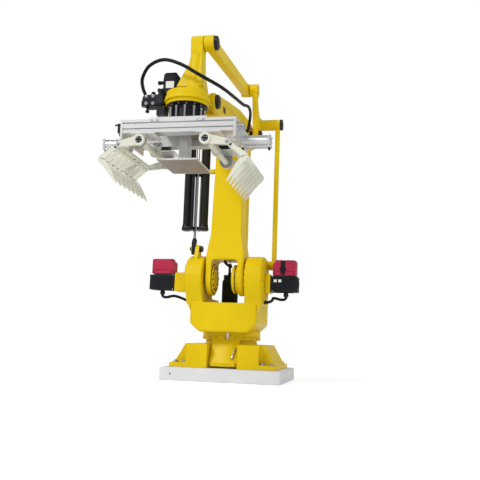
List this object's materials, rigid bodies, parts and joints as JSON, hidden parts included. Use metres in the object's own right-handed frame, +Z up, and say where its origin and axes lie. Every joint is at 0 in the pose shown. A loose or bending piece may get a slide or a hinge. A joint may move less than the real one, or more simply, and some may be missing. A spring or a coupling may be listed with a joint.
{
  "type": "palletising robot arm",
  "caption": "Floor-standing palletising robot with levelling links, crank drive and gas balancer, holding a bag gripper with comb-like jaws",
  "frame": {"origin": "on the floor, at the middle of the plinth's underside, under the swing axis", "axes": "+Z up along the swing axis, the arm reaches towards -Y at rest, every arm pivot turns about an X line"},
  "size_m": [1.3506, 2.573, 2.677],
  "materials": {
    "yellow_paint": "semi-gloss yellow machine paint on castings",
    "plinth_paint": "pale grey floor paint",
    "motor_black": "matt black motor enamel",
    "red_plastic": "red moulded encoder housings",
    "bright_steel": "bright machined and chromed steel",
    "black_steel": "black oxide steel",
    "rail_aluminium": "clear anodised extrusion",
    "plate_aluminium": "milled plate",
    "ivory_paint": "ivory powder coat",
    "cable_rubber": "black hose and cable jacket"
  },
  "bodies": {
    "root": {"plinth": "plinth_paint", "base_casting": "yellow_paint"},
    "turret": {"turret_yoke": "yellow_paint", "swing_motor": "motor_black", "left_gearbox": "yellow_paint", "left_motor": "motor_black", "left_encoder_box": "red_plastic", "left_motor_cable": "cable_rubber", "right_gearbox": "yellow_paint", "right_motor": "motor_black", "right_encoder_box": "red_plastic", "right_motor_cable": "cable_rubber"},
    "lower_arm": {"lower_arm": "yellow_paint"},
    "elbow_level": {"elbow_bracket": "yellow_paint", "elbow_shaft": "black_steel"},
    "upper_arm": {"upper_arm": "yellow_paint"},
    "wrist": {"wrist_housing": "yellow_paint", "wrist_tower": "yellow_paint", "wrist_motor": "motor_black", "connector_block": "motor_black", "dress_hose": "cable_rubber"},
    "crank": {"crank": "yellow_paint"},
    "crank_pin": {"crank_pin": "bright_steel"},
    "drive_link": {"drive_link": "yellow_paint"},
    "levelling_rod": {"levelling_rod": "yellow_paint"},
    "top_link": {"top_link": "yellow_paint"},
    "balancer_rod": {"balancer_rod": "bright_steel"},
    "balancer_tubes": {"balancer_tubes": "black_steel"},
    "tool": {"tool_flange": "bright_steel", "tool_plate": "plate_aluminium", "front_rail": "rail_aluminium", "rear_rail": "rail_aluminium", "stop_plate": "plate_aluminium", "left_hanger": "plate_aluminium", "right_hanger": "plate_aluminium", "left_cylinder": "rail_aluminium", "right_cylinder": "rail_aluminium"},
    "left_jaw": {"left_jaw": "ivory_paint", "left_fingers": "ivory_paint"},
    "right_jaw": {"right_jaw": "ivory_paint", "right_fingers": "ivory_paint"},
    "left_rod": {"left_rod": "bright_steel"},
    "right_rod": {"right_rod": "bright_steel"}
  },
  "joints": [
    {"name": "swing", "type": "hinge", "parent": "root", "child": "turret", "pos_m": [0, 0, 0.395], "axis": [0, 0, 1], "range_deg": [-180, 180]},
    {"name": "shoulder", "type": "hinge", "parent": "turret", "child": "lower_arm", "pos_m": [0, -0.275, 0.9], "axis": [1, 0, 0], "range_deg": [-30, 55]},
    {"name": "bracket_level", "type": "hinge", "parent": "lower_arm", "child": "elbow_level", "pos_m": [0, -0.275, 2.22], "axis": [1, 0, 0], "range_deg": [-55.5, 30.5]},
    {"name": "elbow", "type": "hinge", "parent": "elbow_level", "child": "upper_arm", "pos_m": [0, -0.275, 2.22], "axis": [1, 0, 0], "range_deg": [-30, 25]},
    {"name": "wrist_level", "type": "hinge", "parent": "upper_arm", "child": "wrist", "pos_m": [0, -1.59795, 2.08329], "axis": [1, 0, 0], "range_deg": [-25.5, 30.5], "deforming": ["dress_hose"]},
    {"name": "rod_tilt", "type": "hinge", "parent": "turret", "child": "levelling_rod", "pos_m": [0, -0.168, 1.038], "axis": [1, 0, 0], "range_deg": [-30.5, 55.5]},
    {"name": "link_tilt", "type": "hinge", "parent": "elbow_level", "child": "top_link", "pos_m": [0, -0.393, 2.619], "axis": [1, 0, 0], "range_deg": [-30.5, 25.5]},
    {"name": "crank_turn", "type": "hinge", "parent": "turret", "child": "crank", "pos_m": [0, -0.275, 0.9], "axis": [1, 0, 0], "range_deg": [-30.5, 25.5]},
    {"name": "crank_pin_turn", "type": "hinge", "parent": "crank", "child": "crank_pin", "pos_m": [0, 0.02341, 0.93084], "axis": [1, 0, 0], "range_deg": [-25.5, 30.5]},
    {"name": "drive_link_tilt", "type": "hinge", "parent": "crank_pin", "child": "drive_link", "pos_m": [0, 0.02341, 0.93084], "axis": [1, 0, 0], "range_deg": [-30.5, 55.5]},
    {"name": "balancer_rod_tilt", "type": "hinge", "parent": "turret", "child": "balancer_rod", "pos_m": [0, -0.33, 1.165], "axis": [1, 0, 0], "range_deg": [-40.4, 73.65]},
    {"name": "balancer_tube_tilt", "type": "hinge", "parent": "lower_arm", "child": "balancer_tubes", "pos_m": [0, -0.33, 1.88], "axis": [1, 0, 0], "range_deg": [-10.4, 18.65]},
    {"name": "tool_turn", "type": "hinge", "parent": "wrist", "child": "tool", "pos_m": [0, -1.76295, 1.99], "axis": [0, 0, 1], "range_deg": [-180, 180]},
    {"name": "left_jaw_swing", "type": "hinge", "parent": "tool", "child": "left_jaw", "pos_m": [-0.226, -1.76295, 1.663], "axis": [0, 1, 0], "range_deg": [-62, 0]},
    {"name": "right_jaw_swing", "type": "hinge", "parent": "tool", "child": "right_jaw", "pos_m": [0.226, -1.76295, 1.663], "axis": [0, 1, 0], "range_deg": [0, 62]},
    {"name": "left_rod_slide", "type": "slide", "parent": "tool", "child": "left_rod", "axis": [1, 0, 0], "range_m": [-0.07555, 0.001]},
    {"name": "right_rod_slide", "type": "slide", "parent": "tool", "child": "right_rod", "axis": [1, 0, 0], "range_m": [-0.001, 0.07555]}
  ],
  "couplings": [
    {"joint": "bracket_level", "follows": "shoulder", "ratio": -1},
    {"joint": "rod_tilt", "follows": "shoulder", "ratio": 1},
    {"joint": "drive_link_tilt", "follows": "shoulder", "ratio": 1},
    {"joint": "balancer_rod_tilt", "follows": "shoulder", "ratio": 1.33},
    {"joint": "balancer_tube_tilt", "follows": "shoulder", "ratio": 0.33},
    {"joint": "wrist_level", "follows": "elbow", "ratio": -1},
    {"joint": "link_tilt", "follows": "elbow", "ratio": 1},
    {"joint": "crank_turn", "follows": "elbow", "ratio": 1},
    {"joint": "crank_pin_turn", "follows": "elbow", "ratio": -1},
    {"joint": "left_rod_slide", "follows": "left_jaw_swing", "m_per_rad": 0.06889},
    {"joint": "right_rod_slide", "follows": "right_jaw_swing", "m_per_rad": 0.06889}
  ]
}
